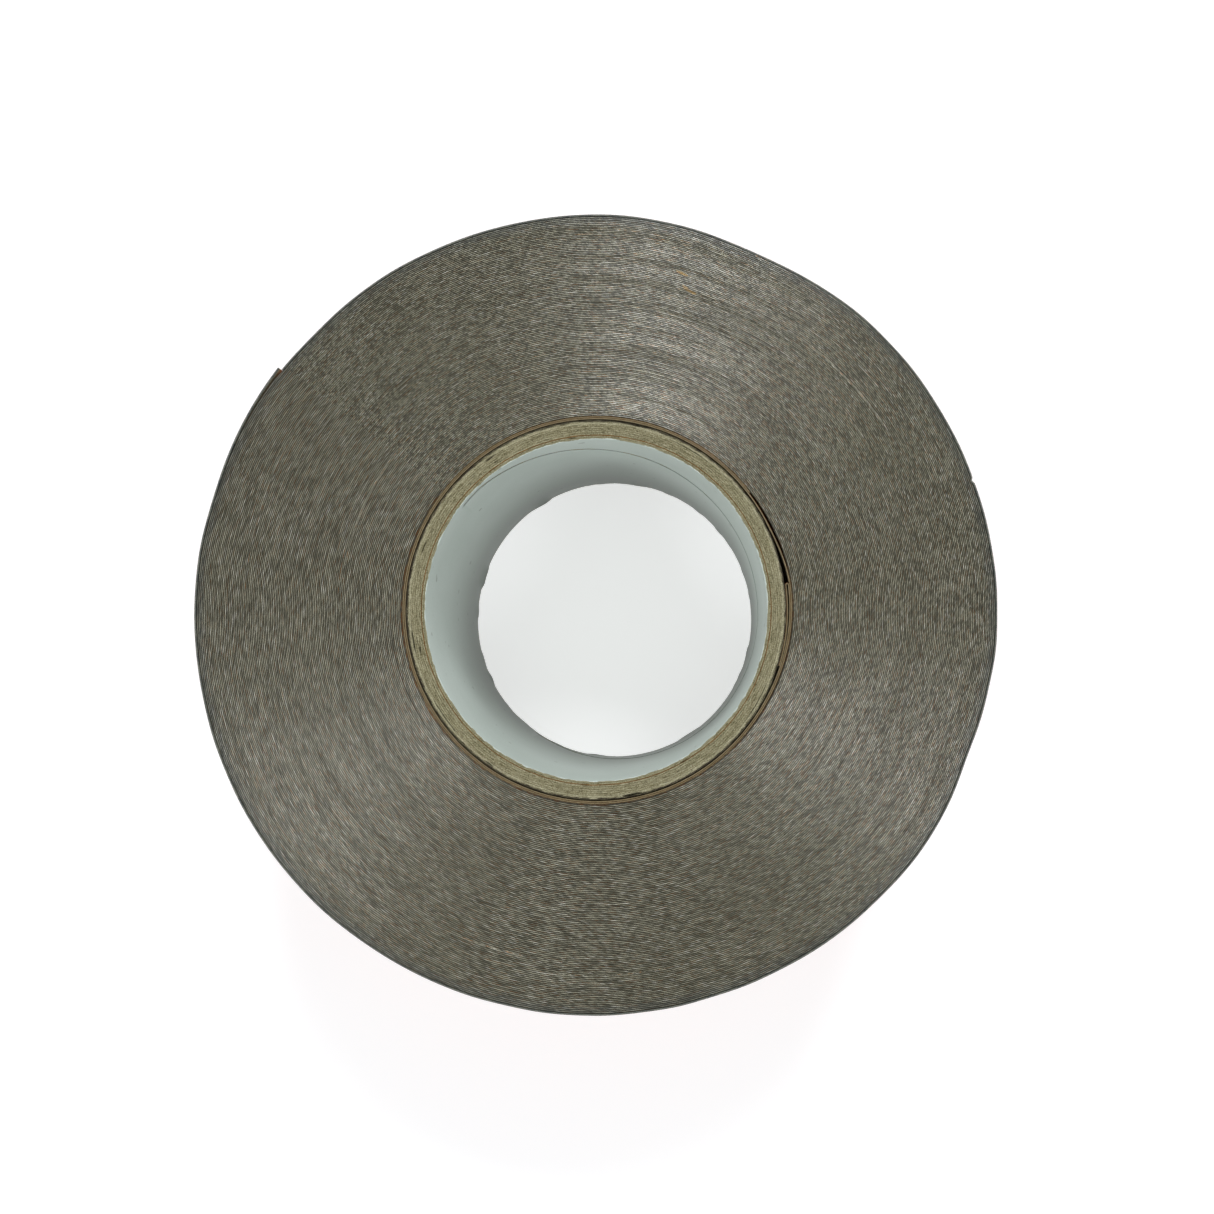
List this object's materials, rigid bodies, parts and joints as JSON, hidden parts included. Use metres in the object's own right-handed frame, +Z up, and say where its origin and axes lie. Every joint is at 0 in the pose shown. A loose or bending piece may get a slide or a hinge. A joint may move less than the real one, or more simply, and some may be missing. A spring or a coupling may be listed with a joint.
{
  "type": "copper foil tape roll",
  "caption": "Roll of adhesive-backed copper foil tape wound on a paperboard core, with a free end that lifts and a foil end that peels off its release liner.",
  "frame": {"origin": "centre of the core's bore at the bottom end of the roll", "axes": "+Z up along the roll's axis; +X towards the folded start of the tape, within 7.5 degrees; seen from above the tape winds outward clockwise"},
  "size_m": [0.1193, 0.1191, 0.0508],
  "materials": {
    "core_lining": "matte",
    "core_glue": "matte",
    "core_body_ply": "matte",
    "core_outer_ply": "matte",
    "wound_tape": "satin",
    "copper_foil": "satin",
    "adhesive_film": "satin",
    "release_liner": "matte"
  },
  "bodies": {
    "roll": {"core_lining": "core_lining", "core_glue_line": "core_glue", "core_body_ply_1": "core_body_ply", "core_body_ply_2": "core_body_ply", "core_body_ply_3": "core_body_ply", "core_body_ply_4": "core_body_ply", "core_body_ply_5": "core_body_ply", "core_body_ply_6": "core_body_ply", "core_outer_ply_1": "core_outer_ply", "core_outer_ply_2": "core_outer_ply", "first_turns_liner": "release_liner", "first_turns_adhesive": "adhesive_film", "first_turns_foil": "copper_foil", "tape_winding": "wound_tape", "last_turn_liner": "release_liner", "last_turn_adhesive": "adhesive_film", "last_turn_foil": "copper_foil"},
    "lift_1": {"tail_liner_1": "release_liner", "tail_adhesive_1": "adhesive_film", "tail_foil_1": "copper_foil"},
    "lift_2": {"tail_liner_2": "release_liner", "tail_adhesive_2": "adhesive_film", "tail_foil_2": "copper_foil"},
    "lift_3": {"tail_liner_3": "release_liner", "tail_adhesive_3": "adhesive_film", "tail_foil_3": "copper_foil"},
    "lift_4": {"tail_liner_4": "release_liner", "tail_adhesive_4": "adhesive_film", "tail_foil_4": "copper_foil"},
    "tail_end": {"tail_liner_end": "release_liner"},
    "peel_1": {"peel_adhesive_1": "adhesive_film", "peel_foil_1": "copper_foil"},
    "peel_2": {"peel_adhesive_2": "adhesive_film", "peel_foil_2": "copper_foil"},
    "peel_3": {"peel_adhesive_3": "adhesive_film", "peel_foil_3": "copper_foil"}
  },
  "joints": [
    {"name": "tail_bend_1", "type": "hinge", "parent": "roll", "child": "lift_1", "pos_m": [-0.04445, -0.04063, 0.0254], "axis": [0, 0, 1], "range_deg": [0, 18]},
    {"name": "tail_bend_2", "type": "hinge", "parent": "lift_1", "child": "lift_2", "pos_m": [-0.05303, -0.02826, 0.0254], "axis": [0, 0, 1], "range_deg": [0, 18]},
    {"name": "tail_bend_3", "type": "hinge", "parent": "lift_2", "child": "lift_3", "pos_m": [-0.05824, -0.01414, 0.0254], "axis": [0, 0, 1], "range_deg": [0, 18]},
    {"name": "tail_bend_4", "type": "hinge", "parent": "lift_3", "child": "lift_4", "pos_m": [-0.05975, 0.00083, 0.0254], "axis": [0, 0, 1], "range_deg": [0, 18]},
    {"name": "tail_bend_5", "type": "hinge", "parent": "lift_4", "child": "tail_end", "pos_m": [-0.05746, 0.01571, 0.0254], "axis": [0, 0, 1], "range_deg": [0, 18]},
    {"name": "peel_bend_1", "type": "hinge", "parent": "tail_end", "child": "peel_1", "pos_m": [-0.05746, 0.01571, 0.0254], "axis": [0, 0, 1], "range_deg": [0, 35]},
    {"name": "peel_bend_2", "type": "hinge", "parent": "peel_1", "child": "peel_2", "pos_m": [-0.05493, 0.0229, 0.0254], "axis": [0, 0, 1], "range_deg": [0, 35]},
    {"name": "peel_bend_3", "type": "hinge", "parent": "peel_2", "child": "peel_3", "pos_m": [-0.05157, 0.02975, 0.0254], "axis": [0, 0, 1], "range_deg": [0, 35]}
  ],
  "couplings": [
    {"joint": "tail_bend_2", "follows": "tail_bend_1", "ratio": 1},
    {"joint": "tail_bend_3", "follows": "tail_bend_1", "ratio": 1},
    {"joint": "tail_bend_4", "follows": "tail_bend_1", "ratio": 1},
    {"joint": "tail_bend_5", "follows": "tail_bend_1", "ratio": 1},
    {"joint": "peel_bend_2", "follows": "peel_bend_1", "ratio": 1},
    {"joint": "peel_bend_3", "follows": "peel_bend_1", "ratio": 1}
  ]
}
